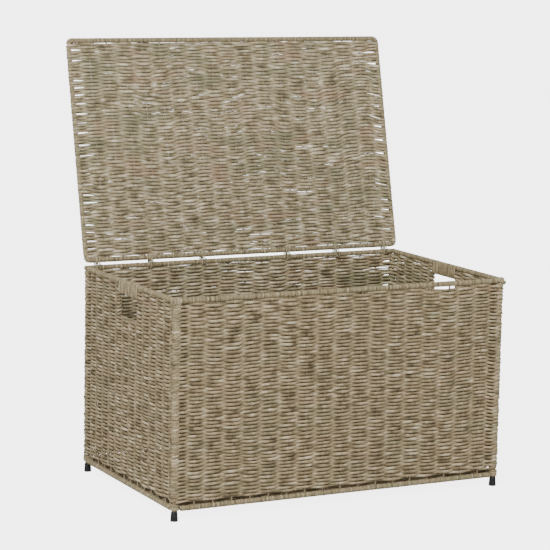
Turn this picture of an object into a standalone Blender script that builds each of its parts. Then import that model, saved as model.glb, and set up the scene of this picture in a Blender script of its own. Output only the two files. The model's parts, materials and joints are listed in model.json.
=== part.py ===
"""A lidded storage trunk woven from seagrass cord on a welded wire frame.

The trunk stands on capped corner posts. Wrapped rails close the top and bottom of
each wall, thin wire stakes run between them, and the weave is worked over the
stakes. The lid is a wrapped wire ring filled the same way. It hangs on cord ties
that loop round its back rail and the trunk's back rail, so it turns about its own
back rail. Units are metres, +Z is up, the front faces -Y.
"""

import math

import bmesh
import bpy
from mathutils import Matrix, Vector

# Driving dimensions
TRUNK_W = 0.762  # over the wrapped rails, left to right
TRUNK_D = 0.465  # over the wrapped rails, front to back
TRUNK_H = 0.448  # floor to the top of the rim
LID_W = 0.765
LID_L = 0.483  # back edge to front edge
LID_LEAN = math.radians(13.4)  # how far past upright the open lid leans
CLEAR = 0.0003  # gap between neighbouring pieces

# Frame
ROD_R = 0.0025  # bare rail wire
RAIL_R = 0.0055  # rail with its cord wrap
POST_R = 0.005
POST_WRAP_R = 0.009
POST_INSET = POST_WRAP_R  # post axis from the outer faces
RAIL_INSET = RAIL_R  # rail axis from the outer faces
STAKE_R = 0.00175
STAKE_BORE_R = STAKE_R + 0.0006
STAKE_SLIT = 2 * STAKE_R + 0.0008  # slit in a rail's wrap, where the stakes pass
ROUND_SIDES = 12
STAKE_SIDES = 6

# Feet
FOOT_H = 0.020
FOOT_TOP_R = 0.00675
FOOT_BASE_R = 0.008
FOOT_SOLE_R = 0.0068
FOOT_SOLE_H = 0.0015
FOOT_FLOOR = 0.005  # thickness under the post

# Weave
WALL_T = 0.009
FLOOR_T = 0.008
BASE_GAP = 0.0065  # open slit between a base rail and the first row
RIM_GAP = {"front": 0.0035, "back": 0.0045, "left": 0.001, "right": 0.001}  # under the rim rail
LID_GAP = 0.004  # inside the lid's front and back rails
LID_SIDE_GAP = 0.002
BAYS_WIDE = 18
BAYS_DEEP = 13

# Handles, one in each end wall
HANDLE_BAYS = 3
HANDLE_STAKE_MARGIN = 0.003  # a handle hole's edge from the stake beside it
SLOT_TOP = 0.032  # below the rim
SLOT_H = 0.045
SILL_DROP = 0.004  # the wire under a hand hole, below the hole's edge
GRIP_HALF_T = 0.0065
HANDLE_BAR_R = 0.002
CUTTER_REACH = 0.04  # cutters pass well through what they cut

# Lid and its ties
HINGE_GAP = 0.005  # between the two wrapped back rails
LID_CORNER_R = 0.007
LID_CORNER_STEPS = 5
LID_CORNER_LEG = 0.002  # straight end of a wrap that turns a corner
TIE_R = 0.0015
TIE_SLACK = 0.0004
TIE_BAYS = (0, 3, 6, 11, 14, 17)
TIE_STEPS = 6

# Places worked out from the dimensions above
HALF_W = TRUNK_W / 2
HALF_D = TRUNK_D / 2
RAIL_X = HALF_W - RAIL_INSET
RAIL_Y = HALF_D - RAIL_INSET
RIM_Z = TRUNK_H - RAIL_R
BASE_Z = FOOT_H + RAIL_R
HINGE_Y = RAIL_Y
HINGE_Z = TRUNK_H + HINGE_GAP + RAIL_R
LID_REACH = LID_L - 2 * RAIL_R  # hinge axis to the lid's front rail
LID_BACK_Y = HINGE_Y + LID_REACH * math.sin(LID_LEAN) + RAIL_R
TRUNK_Y = (HALF_D - LID_BACK_Y) / 2  # centres the open trunk's box on the origin
BAY_W = (TRUNK_W - 2 * POST_INSET) / BAYS_WIDE
BAY_D = (TRUNK_D - 2 * POST_INSET) / BAYS_DEEP
WEAVE_BOTTOM = FOOT_H + 2 * RAIL_R + BASE_GAP
POST_CLEAR = POST_INSET + POST_WRAP_R + CLEAR  # outer face to the free side of a wrapped post
NOTCH_HALF = HANDLE_BAYS * BAY_D / 2 - HANDLE_STAKE_MARGIN
SLOT_BOTTOM_Z = TRUNK_H - SLOT_TOP - SLOT_H

# Finishes: linear colour, roughness, metallic
SEAGRASS = ((0.275, 0.225, 0.145), 0.75, 0.0)
SEAGRASS_WRAP = ((0.250, 0.215, 0.150), 0.70, 0.0)
FRAME_STEEL = ((0.120, 0.105, 0.085), 0.45, 1.0)
BLACK_CAP = ((0.012, 0.013, 0.014), 0.40, 0.0)


def make_collection(name):
    """A new collection in the scene."""
    made = bpy.data.collections.new(name)
    bpy.context.scene.collection.children.link(made)
    return made


def keep(obj, name, collection, parent=None):
    """Name an object and put it in one collection, under an empty if one is given."""
    obj.name = name
    obj.data.name = name
    for old in list(obj.users_collection):
        old.objects.unlink(obj)
    collection.objects.link(obj)
    obj.parent = parent
    return obj


def dress(obj, finish):
    """Give a sub-part its own material."""
    colour, roughness, metallic = finish
    mat = bpy.data.materials.new(obj.name)
    mat.use_nodes = True
    shader = mat.node_tree.nodes["Principled BSDF"]
    shader.inputs["Base Color"].default_value = (*colour, 1.0)
    shader.inputs["Roughness"].default_value = roughness
    shader.inputs["Metallic"].default_value = metallic
    obj.data.materials.append(mat)
    return obj


def smooth(obj):
    """Shade a round mesh smooth, with its end edges kept sharp."""
    obj.data.shade_smooth()
    obj.data.set_sharp_from_angle(angle=math.radians(50))
    return obj


def cylinder_between(start, end, radius, ends):
    """A round primitive from one point to another, with or without end faces."""
    start, end = Vector(start), Vector(end)
    run = end - start
    bpy.ops.mesh.primitive_cylinder_add(
        vertices=ROUND_SIDES,
        radius=radius,
        depth=run.length,
        end_fill_type=ends,
        location=(start + end) / 2,
        rotation=run.to_track_quat("Z", "Y").to_euler(),
    )
    return bpy.context.active_object


def rod(name, start, end, radius, parent, finish=FRAME_STEEL):
    """A solid round bar."""
    obj = keep(cylinder_between(start, end, radius, "NGON"), name, PARTS, parent)
    return dress(smooth(obj), finish)


def sleeve(name, start, end, outer, inner, parent):
    """An open tube of cord wrap round a bar."""
    obj = keep(cylinder_between(start, end, outer, "NOTHING"), name, PARTS, parent)
    add_wall(obj, outer - inner)
    return dress(smooth(obj), SEAGRASS_WRAP)


def slit(wrap, size, centre, parent):
    """Open a wrap along one side for the stakes."""
    cut(wrap, as_tool(box(size, centre), wrap.name + "_slit", parent))


def add_wall(obj, thickness):
    """Thicken an open surface inwards."""
    wall = obj.modifiers.new("Wall", "SOLIDIFY")
    wall.thickness = thickness
    wall.offset = -1.0
    wall.use_even_offset = True
    return obj


def bars_mesh(name, bars, radius):
    """One mesh of separate solid bars, each given by its two end points."""
    bm = bmesh.new()
    for start, end in bars:
        start, end = Vector(start), Vector(end)
        run = end - start
        turn = run.to_track_quat("Z", "Y").to_matrix().to_4x4()
        bmesh.ops.create_cone(
            bm,
            cap_ends=True,
            segments=STAKE_SIDES,
            radius1=radius,
            radius2=radius,
            depth=run.length,
            matrix=Matrix.Translation((start + end) / 2) @ turn,
        )
    mesh = bpy.data.meshes.new(name)
    bm.to_mesh(mesh)
    bm.free()
    return bpy.data.objects.new(name, mesh)


def weld(obj, joined_shapes, parent):
    """Join further bars to a piece, one union for each shape."""
    for number, shape in enumerate(joined_shapes, start=1):
        modifier = obj.modifiers.new("Weld", "BOOLEAN")
        modifier.operation = "UNION"
        modifier.object = as_tool(shape, f"{obj.name}_weld_{number}", parent)
    return obj


def wire_panel(name, rails, bars, parent, sill=None):
    """A welded wire panel: two rails, the stakes between them, and a sill if given."""
    obj = rod(name, *rails[0], ROD_R, parent)
    joined = [bars_mesh(name + "_stakes", bars, STAKE_R)]
    joined.append(cylinder_between(*rails[1], ROD_R, "NGON"))
    if sill:
        joined.append(bars_mesh(name + "_sill", [sill], STAKE_R))
    return weld(obj, joined, parent)


def as_tool(obj, name, parent):
    """Hide an object that only cuts or joins others."""
    keep(obj, name, CUTTERS, parent)
    obj.hide_render = True
    obj.display_type = "WIRE"
    return obj


def box(size, centre):
    """A box primitive at its real size, unscaled."""
    bpy.ops.mesh.primitive_cube_add(size=1.0, location=centre)
    obj = bpy.context.active_object
    obj.data.transform(Matrix.Diagonal((*size, 1.0)))
    return obj


def cut(obj, cutter):
    """Take one shape out of another."""
    modifier = obj.modifiers.new(cutter.name, "BOOLEAN")
    modifier.operation = "DIFFERENCE"
    modifier.object = cutter


def weave(name, size, centre, bars, parent):
    """A woven panel: a slab with a bore for each stake that runs through it."""
    obj = keep(box(size, centre), name, PARTS, parent)
    cut(obj, as_tool(bars_mesh(name, bars, STAKE_BORE_R), name + "_bores", parent))
    return dress(obj, SEAGRASS)


def tube_mesh(name, points, radius, sides, closed, capped, parent):
    """A bevelled poly curve turned into a mesh, in its parent's space."""
    curve = bpy.data.curves.new(name, "CURVE")
    curve.dimensions = "3D"
    curve.bevel_depth = radius
    curve.bevel_resolution = (sides - 4) // 2
    curve.use_fill_caps = capped
    line = curve.splines.new("POLY")
    line.points.add(len(points) - 1)
    for point, place in zip(line.points, points):
        point.co = (*place, 1.0)
    line.use_cyclic_u = closed
    guide = bpy.data.objects.new(name, curve)
    PARTS.objects.link(guide)
    view = bpy.context.evaluated_depsgraph_get()
    mesh = bpy.data.meshes.new_from_object(guide.evaluated_get(view))
    bpy.data.objects.remove(guide)
    bm = bmesh.new()
    bm.from_mesh(mesh)
    bmesh.ops.remove_doubles(bm, verts=bm.verts, dist=0.00001)
    bm.to_mesh(mesh)
    bm.free()
    return keep(bpy.data.objects.new(name, mesh), name, PARTS, parent)


def arc(centre, radius, start, end, steps):
    """Points on an arc in the XY plane, from one angle to another in degrees."""
    turns = [math.radians(start + (end - start) * i / steps) for i in range(steps + 1)]
    return [(centre[0] + radius * math.cos(a), centre[1] + radius * math.sin(a), 0.0) for a in turns]


def side_signs():
    """The corner names with their signs in X and Y."""
    for y_name, y_sign in (("front", -1), ("back", 1)):
        for x_name, x_sign in (("left", -1), ("right", 1)):
            yield f"{y_name}_{x_name}", x_sign, y_sign


def make_posts(trunk):
    """Corner posts, each in a moulded cap below and a cord wrap above."""
    top = TRUNK_H - 2 * RAIL_R - CLEAR
    for corner, x_sign, y_sign in side_signs():
        x, y = x_sign * (HALF_W - POST_INSET), y_sign * (HALF_D - POST_INSET)
        rod(f"post_{corner}", (x, y, FOOT_FLOOR + CLEAR), (x, y, top), POST_R, trunk)
        bottom = (x, y, FOOT_H)
        sleeve(f"wrap_post_{corner}", bottom, (x, y, top), POST_WRAP_R, POST_R + CLEAR, trunk)
        foot = make_foot(f"foot_{corner}", trunk)
        foot.location = (x, y, 0.0)


def make_foot(name, parent):
    """A tapered cap, turned from its profile, with a blind socket for the post."""
    socket_r = POST_R + CLEAR
    rim_z = FOOT_H - CLEAR
    profile = [
        (0.0, FOOT_FLOOR),
        (socket_r, FOOT_FLOOR),
        (socket_r, rim_z),
        (FOOT_TOP_R, rim_z),
        (FOOT_BASE_R, FOOT_SOLE_H),
        (FOOT_SOLE_R, 0.0),
        (0.0, 0.0),
    ]
    mesh = bpy.data.meshes.new(name)
    edges = [(i, i + 1) for i in range(len(profile) - 1)]
    mesh.from_pydata([(r, 0.0, z) for r, z in profile], edges, [])
    obj = keep(bpy.data.objects.new(name, mesh), name, PARTS, parent)
    turn = obj.modifiers.new("Turn", "SCREW")
    turn.steps = turn.render_steps = 16
    turn.use_merge_vertices = True
    turn.merge_threshold = 0.0001
    turn.use_smooth_shade = False
    return dress(obj, BLACK_CAP)


def make_wraps(trunk):
    """The cord wrapped round the rails, left open along the side the stakes pass."""
    inner = ROD_R + CLEAR
    side_end = RAIL_Y - RAIL_R - CLEAR
    for side, sign in (("front", -1), ("back", 1)):
        y = sign * RAIL_Y
        ends = ((-HALF_W, y, RIM_Z), (HALF_W, y, RIM_Z))
        top = sleeve(f"wrap_top_{side}", *ends, RAIL_R, inner, trunk)
        x_wrap = HALF_W - POST_CLEAR
        ends = ((-x_wrap, y, BASE_Z), (x_wrap, y, BASE_Z))
        base = sleeve(f"wrap_bottom_{side}", *ends, RAIL_R, inner, trunk)
        size = (BAY_W * (BAYS_WIDE - 1), STAKE_SLIT, 2 * RAIL_R)
        slit(top, size, (0.0, y, RIM_Z - RAIL_R), trunk)
        slit(base, size, (0.0, y, BASE_Z + RAIL_R), trunk)
    for side, sign in (("left", -1), ("right", 1)):
        x = sign * RAIL_X
        y_wrap = HALF_D - POST_CLEAR
        ends = ((x, -y_wrap, BASE_Z), (x, y_wrap, BASE_Z))
        base = sleeve(f"wrap_bottom_{side}", *ends, RAIL_R, inner, trunk)
        size = (STAKE_SLIT, BAY_D * (BAYS_DEEP - 1), 2 * RAIL_R)
        slit(base, size, (x, 0.0, BASE_Z + RAIL_R), trunk)
        for end, y_sign in (("front", -1), ("back", 1)):
            ends = ((x, y_sign * NOTCH_HALF, RIM_Z), (x, y_sign * side_end, RIM_Z))
            top = sleeve(f"wrap_top_{side}_{end}", *ends, RAIL_R, inner, trunk)
            first = y_sign * BAY_D * HANDLE_BAYS / 2
            last = y_sign * BAY_D * (BAYS_DEEP / 2 - 1)
            size = (STAKE_SLIT, abs(last - first) + STAKE_SLIT, 2 * RAIL_R)
            slit(top, size, (x, (first + last) / 2, RIM_Z - RAIL_R), trunk)


def weave_top(side):
    """Where a wall's weave stops, below its rim rail."""
    return TRUNK_H - 2 * RAIL_R - RIM_GAP[side]


def make_wide_walls(trunk):
    """The front and back walls: a wire panel, and the weave over its stakes."""
    xs = [BAY_W * (i - BAYS_WIDE / 2) for i in range(1, BAYS_WIDE)]
    base_x = HALF_W - POST_CLEAR
    for side, sign in (("front", -1), ("back", 1)):
        y = sign * RAIL_Y
        rim = ((-HALF_W, y, RIM_Z), (HALF_W, y, RIM_Z))
        base = ((-base_x, y, BASE_Z), (base_x, y, BASE_Z))
        bars = [((x, y, BASE_Z), (x, y, RIM_Z)) for x in xs]
        wire_panel(f"wire_{side}", (rim, base), bars, trunk)
        top = weave_top(side)
        size = (2 * (HALF_W - POST_CLEAR), WALL_T, top - WEAVE_BOTTOM)
        weave(f"weave_{side}", size, (0.0, y, (WEAVE_BOTTOM + top) / 2), bars, trunk)


def make_end_walls(trunk):
    """The left and right walls, each with a hand hole between two stakes."""
    ys = [BAY_D * (i - BAYS_DEEP / 2) for i in range(1, BAYS_DEEP)]
    side_end = RAIL_Y - RAIL_R - CLEAR
    base_y = HALF_D - POST_CLEAR
    sill_z = SLOT_BOTTOM_Z - SILL_DROP
    sill_y = HANDLE_BAYS * BAY_D / 2
    hole_h = TRUNK_H - SLOT_BOTTOM_Z
    for side, sign in (("left", -1), ("right", 1)):
        x = sign * RAIL_X
        rim = ((x, -side_end, RIM_Z), (x, side_end, RIM_Z))
        base = ((x, -base_y, BASE_Z), (x, base_y, BASE_Z))
        sill = ((x, -sill_y, sill_z), (x, sill_y, sill_z))
        bars = [((x, y, BASE_Z), (x, y, RIM_Z if abs(y) > NOTCH_HALF else sill_z)) for y in ys]
        wire_panel(f"wire_{side}", (rim, base), bars, trunk, sill)
        top = weave_top(side)
        size = (WALL_T, 2 * (HALF_D - POST_CLEAR), top - WEAVE_BOTTOM)
        panel = weave(f"weave_{side}", size, (x, 0.0, (WEAVE_BOTTOM + top) / 2), bars, trunk)
        sill_bore = bars_mesh(f"sill_bore_{side}", [sill], STAKE_BORE_R)
        cut(panel, as_tool(sill_bore, f"sill_bore_{side}", trunk))
        size_hole = (CUTTER_REACH, 2 * NOTCH_HALF, hole_h)
        hole = box(size_hole, (x, 0.0, SLOT_BOTTOM_Z + hole_h / 2))
        cut(panel, as_tool(hole, f"hand_hole_{side}", trunk))
        make_grip(side, x, trunk)


def make_grip(side, x, trunk):
    """The carrying grip over a hand hole: cord bound round the rail and a lower bar."""
    half = NOTCH_HALF - CLEAR
    bar_z = TRUNK_H - SLOT_TOP + GRIP_HALF_T
    rod(f"handle_bar_{side}", (x, -half, bar_z), (x, half, bar_z), HANDLE_BAR_R, trunk)
    name = f"handle_grip_{side}"
    height = RIM_Z - bar_z
    outer = arc((0.0, height / 2), GRIP_HALF_T, 0, 180, 8)
    outer += arc((0.0, -height / 2), GRIP_HALF_T, 180, 360, 8)
    rail_bore = arc((0.0, height / 2), ROD_R + CLEAR, 0, 330, 11)
    bar_bore = arc((0.0, -height / 2), HANDLE_BAR_R + CLEAR, 0, 330, 11)
    curve = bpy.data.curves.new(name, "CURVE")
    curve.dimensions = "2D"
    curve.fill_mode = "BOTH"
    curve.extrude = half
    for outline in (outer, rail_bore, bar_bore):
        line = curve.splines.new("POLY")
        line.points.add(len(outline) - 1)
        for point, place in zip(line.points, outline):
            point.co = (*place, 1.0)
        line.use_cyclic_u = True
    obj = keep(bpy.data.objects.new(name, curve), name, PARTS, trunk)
    obj.location = (x, 0.0, (RIM_Z + bar_z) / 2)
    obj.rotation_euler = (math.radians(90), 0.0, 0.0)
    return dress(obj, SEAGRASS_WRAP)


def make_floor(trunk):
    """The woven floor, on a wire panel between the base rails."""
    xs = [BAY_W * (i - BAYS_WIDE / 2) for i in range(1, BAYS_WIDE)]
    reach = RAIL_Y - RAIL_R - ROD_R - CLEAR
    half_x = HALF_W - POST_CLEAR
    rails = [((-half_x, y, BASE_Z), (half_x, y, BASE_Z)) for y in (-reach, reach)]
    bars = [((x, -reach, BASE_Z), (x, reach, BASE_Z)) for x in xs]
    wire_panel("wire_floor", rails, bars, trunk)
    size = (2 * half_x, 2 * (HALF_D - POST_CLEAR), FLOOR_T)
    weave("weave_floor", size, (0.0, 0.0, BASE_Z), bars, trunk)


def make_ties(trunk):
    """Cord loops that hold the lid's back rail over the trunk's back rail."""
    path_r = RAIL_R + TIE_SLACK + TIE_R
    drop = HINGE_Z - RIM_Z
    for number, bay in enumerate(TIE_BAYS, start=1):
        upper = arc((0.0, drop / 2), path_r, 0, 180, TIE_STEPS)
        lower = arc((0.0, -drop / 2), path_r, 180, 360, TIE_STEPS)
        points = [(0.0, p[0], p[1]) for p in upper + lower]
        tie = tube_mesh(f"hinge_tie_{number}", points, TIE_R, 6, True, False, trunk)
        tie.location = (BAY_W * (bay + 0.5 - BAYS_WIDE / 2), HINGE_Y, (HINGE_Z + RIM_Z) / 2)
        dress(smooth(tie), SEAGRASS_WRAP)


def make_lid(hinge):
    """The lid, drawn shut in the hinge's space: it reaches along -Y from the axis."""
    half, reach, r = LID_W / 2 - RAIL_R, LID_REACH, LID_CORNER_R
    steps = LID_CORNER_STEPS
    back_right = arc((half - r, -r), r, 90, 0, steps)
    front_right = arc((half - r, r - reach), r, 0, -90, steps)
    front_left = arc((r - half, r - reach), r, 270, 180, steps)
    back_left = arc((r - half, -r), r, 180, 90, steps)
    ring = back_right + front_right + front_left + back_left
    frame = tube_mesh("lid_wire", ring, ROD_R, 8, True, False, hinge)
    xs = [BAY_W * (i - BAYS_WIDE / 2) for i in range(1, BAYS_WIDE)]
    bars = [((x, 0.0, 0.0), (x, -reach, 0.0)) for x in xs]
    weld(frame, [bars_mesh("lid_stakes", bars, STAKE_R)], hinge)
    dress(smooth(frame), FRAME_STEEL)

    leg = LID_CORNER_LEG
    back_y, front_y = -r - leg, r - reach + leg
    back = [(-half, back_y, 0.0)] + back_left + back_right + [(half, back_y, 0.0)]
    front = [(half, front_y, 0.0)] + front_right + front_left + [(-half, front_y, 0.0)]
    slit_size = (BAY_W * (BAYS_WIDE - 1), 2 * RAIL_R, STAKE_SLIT)
    slit_ys = {"back": -RAIL_R, "front": RAIL_R - reach}
    for side, path in (("back", back), ("front", front)):
        wrap = tube_mesh(f"lid_wrap_{side}", path, RAIL_R, ROUND_SIDES, False, False, hinge)
        add_wall(wrap, RAIL_R - ROD_R - CLEAR)
        slit(wrap, slit_size, (0.0, slit_ys[side], 0.0), hinge)
        dress(smooth(wrap), SEAGRASS_WRAP)
    inner = ROD_R + CLEAR
    for side, x in (("left", -half), ("right", half)):
        ends = ((x, back_y - CLEAR, 0.0), (x, front_y + CLEAR, 0.0))
        sleeve(f"lid_wrap_{side}", *ends, RAIL_R, inner, hinge)
    size = (2 * (half - RAIL_R - LID_SIDE_GAP), reach - 2 * (RAIL_R + LID_GAP), WALL_T)
    weave("lid_weave", size, (0.0, -reach / 2, 0.0), bars, hinge)


def make_empty(name, location, parent=None):
    """An empty that carries a body's pieces."""
    empty = bpy.data.objects.new(name, None)
    PARTS.objects.link(empty)
    empty.location = location
    empty.parent = parent
    return empty


for old_object in list(bpy.data.objects):
    bpy.data.objects.remove(old_object, do_unlink=True)
PARTS = make_collection("seagrass_trunk")
CUTTERS = make_collection("cutters")
TRUNK = make_empty("trunk_centre", (0.0, TRUNK_Y, 0.0))
HINGE = make_empty("lid_axis", (0.0, HINGE_Y, HINGE_Z), TRUNK)
make_posts(TRUNK)
make_wraps(TRUNK)
make_wide_walls(TRUNK)
make_end_walls(TRUNK)
make_floor(TRUNK)
make_ties(TRUNK)
make_lid(HINGE)
HINGE.rotation_euler = (-(math.pi / 2 + LID_LEAN), 0.0, 0.0)
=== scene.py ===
"""Looks of a storage trunk: seagrass cord woven over a welded wire frame, its lid hung on cord ties."""

import json
import logging
import math
from collections.abc import Callable
from dataclasses import dataclass, field
from enum import Enum

import bpy
import numpy as np
from mathutils import Matrix, Vector


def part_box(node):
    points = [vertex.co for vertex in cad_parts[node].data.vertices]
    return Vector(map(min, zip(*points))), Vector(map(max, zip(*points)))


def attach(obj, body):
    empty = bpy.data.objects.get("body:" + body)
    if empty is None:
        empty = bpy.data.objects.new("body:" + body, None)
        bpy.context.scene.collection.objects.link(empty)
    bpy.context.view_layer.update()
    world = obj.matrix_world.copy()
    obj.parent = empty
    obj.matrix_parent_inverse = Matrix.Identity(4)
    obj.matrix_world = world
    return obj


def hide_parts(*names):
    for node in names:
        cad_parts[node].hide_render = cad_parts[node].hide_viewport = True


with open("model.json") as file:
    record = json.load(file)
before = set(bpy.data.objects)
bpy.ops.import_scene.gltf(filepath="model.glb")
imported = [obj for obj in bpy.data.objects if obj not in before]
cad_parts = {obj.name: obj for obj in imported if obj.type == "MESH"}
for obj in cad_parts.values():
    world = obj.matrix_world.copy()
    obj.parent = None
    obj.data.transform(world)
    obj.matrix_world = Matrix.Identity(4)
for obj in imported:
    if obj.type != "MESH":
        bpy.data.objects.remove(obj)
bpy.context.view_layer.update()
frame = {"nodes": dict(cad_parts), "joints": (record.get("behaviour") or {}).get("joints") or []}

log = logging.getLogger("trunk")

MM = 0.001
BAYS_WIDE = 18  # spaces between stakes across the front, the back and the lid
BAYS_DEEP = 13  # and along each end
COURSE = 3.78 * MM  # height of one course of cord, beaten down on the next
WEAVE_CORD_R = 2.2 * MM  # half its height between stakes: beaten down, the cord is taller than it is deep
SQUEEZE = 0.66  # its depth as a share of its height
TURN_PULL = 0.36  # how much thinner it is drawn where it turns back round an end upright
SWELL = 0.18  # how much taller it is over a stake, where no neighbour presses on it
WINDING_CORD_R = 1.5 * MM
WINDING_PITCH = 3.15 * MM
SPREAD = 1.28  # wound tightly, the cord is wider along the rail than it is thick
NESTLE = 0.4 * MM  # how far the cord's fibres close round a stake
STAKE_R = 1.75 * MM
ROD_R = 2.5 * MM


def srgb(code: str) -> tuple[float, float, float, float]:
    """Turn a hex colour such as "a08c6e" into linear red, green, blue and alpha.

    Args:
        code: six hex digits, red first.

    Returns:
        Four numbers for a colour socket.
    """
    parts = [int(code[i : i + 2], 16) / 255 for i in (0, 2, 4)]
    linear = [p / 12.92 if p <= 0.04045 else ((p + 0.055) / 1.055) ** 2.4 for p in parts]
    return (*linear, 1.0)


def add_node(tree: bpy.types.NodeTree, kind: str, inputs: dict | None = None, **settings) -> bpy.types.Node:
    """Add one shader node, set it up and link it.

    Args:
        tree: the material's node tree.
        kind: the node's type name.
        inputs: socket name or number to a value, or to an output socket to link.
        **settings: properties of the node itself.

    Returns:
        The new node.
    """
    node = tree.nodes.new(kind)
    for key, value in settings.items():
        setattr(node, key, value)
    for key, value in (inputs or {}).items():
        if isinstance(value, bpy.types.NodeSocket):
            tree.links.new(value, node.inputs[key])
        else:
            node.inputs[key].default_value = value
    return node


def new_material(name: str) -> tuple[bpy.types.Material, bpy.types.NodeTree, bpy.types.Node]:
    """Start a material with a bare Principled shader.

    Args:
        name: what the finish is called.

    Returns:
        The material, its node tree and its shader.
    """
    material = bpy.data.materials.new(name)
    material.use_nodes = True
    tree = material.node_tree
    return material, tree, tree.nodes["Principled BSDF"]


def ramp(tree: bpy.types.NodeTree, factor: bpy.types.NodeSocket,
         stops: list[tuple[float, str]]) -> bpy.types.Node:
    """Add a colour ramp.

    Args:
        tree: the material's node tree.
        factor: what drives the ramp.
        stops: position and hex colour of each stop, lowest first.

    Returns:
        The ramp node.
    """
    node = add_node(tree, "ShaderNodeValToRGB", {"Fac": factor})
    elements = node.color_ramp.elements
    while len(elements) < len(stops):
        elements.new(0.5)
    for element, (place, code) in zip(elements, stops):
        element.position = place
        element.color = srgb(code)
    return node


class Use(Enum):
    """What a length of seagrass cord is used for, which sets its tones; the panel cord is the weave cord
    drawn lighter, as painted light.
    """

    WEAVE = "weave"
    PANEL_PAINTED_LIGHT = "panel"
    WINDING = "winding"
    TIE = "tie"


@dataclass(frozen=True)
class TwistedSeagrass:
    """Two-ply hand-twisted seagrass cord, sun-dried: dull, fibrous, olive to straw, with painted shade in its
    grooves.
    """

    name: str
    stops: tuple[tuple[float, str], ...]
    blush: str  # the pinkish brown of older stalks
    moss: str  # the green that is left in stalks dried in shade
    patchiness: float  # how far patches of cord go towards those two
    lay: float = 9 * MM  # length of one full twist of the two plies
    patch: float = 42 * MM  # length over which the stalks keep one colour
    groove: float = 0.45 * MM
    groove_shade: float = 0.72  # painted shade: how much darker the groove between the plies is drawn
    # painted light: how much lighter the crests of the plies are drawn
    crest_shade: float = 1.06
    blotches: float = 520.0  # to the metre, about 2 mm long, where one stalk differs from the next
    roughness: float = 0.72

    def make(self) -> bpy.types.Material:
        """Build the material.

        Returns:
            A material that follows the cord's own length and girth.
        """
        material, tree, shader = new_material(self.name)
        run = add_node(tree, "ShaderNodeUVMap", uv_map="cord")
        split = add_node(tree, "ShaderNodeSeparateXYZ", {0: run.outputs[0]})
        along, round_it = split.outputs[0], split.outputs[1]
        # Two plies: a groove that runs round the cord once in each half lay.
        turns = add_node(tree, "ShaderNodeMath", {0: along, 1: 1 / self.lay}, operation="MULTIPLY")
        phase = add_node(tree, "ShaderNodeMath", {0: turns.outputs[0], 1: round_it}, operation="ADD")
        wave = add_node(tree, "ShaderNodeMath", {0: phase.outputs[0], 1: 4 * math.pi}, operation="MULTIPLY")
        ply = add_node(tree, "ShaderNodeMath", {0: wave.outputs[0]}, operation="SINE")
        height = add_node(tree, "ShaderNodeMath", {0: ply.outputs[0], 1: 0.5, 2: 0.5},
                          operation="MULTIPLY_ADD")
        # Stalk colour drifts along the cord, and each bundle of stalks differs a little from place to place.
        length = add_node(tree, "ShaderNodeMath", {0: along, 1: 1 / self.patch}, operation="MULTIPLY")
        drift = add_node(tree, "ShaderNodeTexNoise", {"W": length.outputs[0], "Scale": 1.0, "Detail": 2.5,
                                                      "Roughness": 0.62}, noise_dimensions="1D")
        place = add_node(tree, "ShaderNodeTexCoord")
        grain = add_node(tree, "ShaderNodeTexNoise", {"Vector": place.outputs["Object"],
                                                      "Scale": self.blotches, "Detail": 2.0})
        mixed = add_node(tree, "ShaderNodeMath", {0: grain.outputs["Fac"], 1: 0.55, 2: -0.275},
                         operation="MULTIPLY_ADD")
        tone = add_node(tree, "ShaderNodeMath", {0: drift.outputs["Fac"], 1: mixed.outputs[0]},
                        operation="ADD")
        straw = ramp(tree, tone.outputs[0], list(self.stops))
        # Each length of cord keeps its colour for a while, so patches are wider than they are high.
        wide = add_node(tree, "ShaderNodeVectorMath", {0: place.outputs["Object"], 1: (0.6, 0.6, 1.7)},
                        operation="MULTIPLY")
        cloud = add_node(tree, "ShaderNodeTexNoise", {"Vector": wide.outputs[0], "Scale": 13.0,
                                                      "Detail": 3.0, "Roughness": 0.62})
        green_part = add_node(tree, "ShaderNodeMapRange", {"Value": cloud.outputs["Fac"], "From Min": 0.5,
                                                           "From Max": 0.68, "To Max": self.patchiness})
        greener = add_node(tree, "ShaderNodeMix", {"Factor": green_part.outputs[0], 6: straw.outputs[0],
                                                   7: srgb(self.moss)}, data_type="RGBA")
        haze = add_node(tree, "ShaderNodeTexNoise", {"Vector": wide.outputs[0], "Scale": 17.0, "Detail": 3.0,
                                                     "Roughness": 0.62, "Distortion": 0.4})
        pink_part = add_node(tree, "ShaderNodeMapRange", {"Value": haze.outputs["Fac"], "From Min": 0.53,
                                                          "From Max": 0.7, "To Max": 0.9 * self.patchiness})
        pinker = add_node(tree, "ShaderNodeMix", {"Factor": pink_part.outputs[0], 6: greener.outputs[2],
                                                  7: srgb(self.blush)}, data_type="RGBA")
        # Painted shade and light: the colour is darkened in the grooves between the plies and lightened on
        # their crests, following the twist.
        shade = add_node(tree, "ShaderNodeMapRange", {"Value": height.outputs[0], "To Min": self.groove_shade,
                                                      "To Max": self.crest_shade})
        final = add_node(tree, "ShaderNodeVectorMath", {0: pinker.outputs[2], 1: shade.outputs[0]},
                         operation="MULTIPLY")
        tree.links.new(final.outputs[0], shader.inputs["Base Color"])
        shader.inputs["Roughness"].default_value = self.roughness
        # Fibres: fine ridges that follow the twist.
        fibre_place = add_node(tree, "ShaderNodeCombineXYZ", {0: phase.outputs[0], 1: along})
        fibre = add_node(tree, "ShaderNodeTexNoise", {"Vector": fibre_place.outputs[0], "Scale": 14.0,
                                                      "Detail": 3.0})
        relief = add_node(tree, "ShaderNodeMath", {0: fibre.outputs["Fac"], 1: 0.35, 2: height.outputs[0]},
                          operation="MULTIPLY_ADD")
        bump = add_node(tree, "ShaderNodeBump", {"Height": relief.outputs[0], "Strength": 0.8,
                                                 "Distance": self.groove})
        tree.links.new(bump.outputs[0], shader.inputs["Normal"])
        return material


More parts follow.
